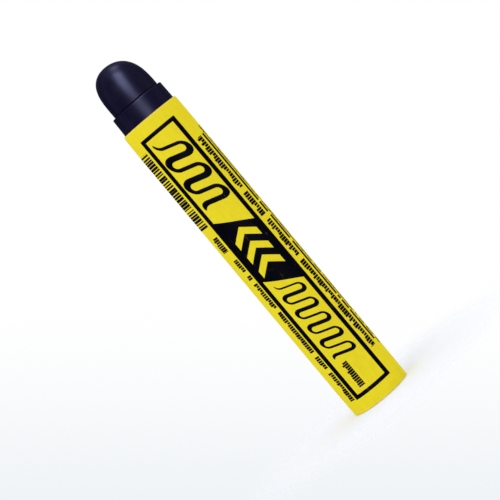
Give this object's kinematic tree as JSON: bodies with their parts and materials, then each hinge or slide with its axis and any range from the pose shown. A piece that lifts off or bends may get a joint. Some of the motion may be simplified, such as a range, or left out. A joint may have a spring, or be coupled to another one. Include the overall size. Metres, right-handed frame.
{
  "type": "solid paint marker",
  "caption": "Solid paint marker: a cast stick of paint with a domed nose, held in a printed paper tube and pushed up from its open base.",
  "frame": {"origin": "centre of the open base of the tube, on the surface that the marker stands on", "axes": "+Z along the axis of the tube, from the base to the tip of the nose; -Y is the front of the print and +Y the overlap of the wrap"},
  "size_m": [0.019, 0.0191, 0.1207],
  "materials": {
    "paint": "satin",
    "dried_paint": "satin",
    "chipboard": "matte",
    "greaseproof": "satin",
    "kraft": "matte",
    "printed_paper": "satin"
  },
  "bodies": {
    "tube": {"tube_outer_ply": "kraft", "tube_inner_ply": "kraft", "tube_liner": "greaseproof", "label_wrap": "printed_paper"},
    "stick": {"paint_stick": "paint", "nose_skin": "dried_paint", "push_disc": "chipboard"}
  },
  "joints": [
    {"name": "stick_push", "type": "slide", "parent": "tube", "child": "stick", "axis": [0, 0, 1], "range_m": [0, 0.1]}
  ]
}
